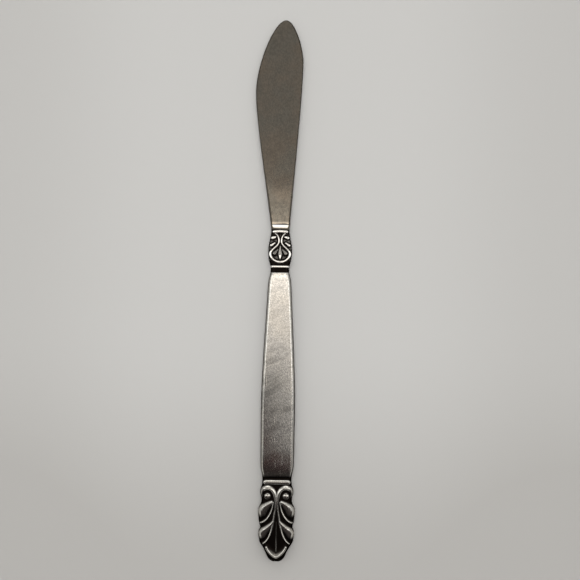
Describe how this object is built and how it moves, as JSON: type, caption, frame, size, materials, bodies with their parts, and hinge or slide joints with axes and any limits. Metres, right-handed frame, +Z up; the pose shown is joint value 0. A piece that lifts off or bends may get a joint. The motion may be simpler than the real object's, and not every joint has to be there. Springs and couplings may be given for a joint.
{
  "type": "butter knife",
  "caption": "Butter knife with a broad round-ended blade cemented into a hollow handle of soldered half shells, with a lyre scroll at the neck and an acanthus leaf at the pommel.",
  "frame": {"origin": "middle of the back panel's flat face, on the knife's long axis, where the knife lies on the table", "axes": "+Y along the knife towards the blade's tip, +Z up out of the front panel, -X towards the spreading edge"},
  "size_m": [0.0148, 0.17, 0.0054],
  "materials": {
    "blade_steel": "satin, with fine lengthwise brushing",
    "handle_steel": "satin panel, polished ridges, darkened recesses",
    "seam_solder": "dressed flush and polished",
    "filler_cement": "rough cast"
  },
  "bodies": {
    "root": {"blade": "blade_steel", "handle_front": "handle_steel", "handle_back": "handle_steel", "seam_solder": "seam_solder", "handle_filler": "filler_cement"}
  },
  "joints": []
}
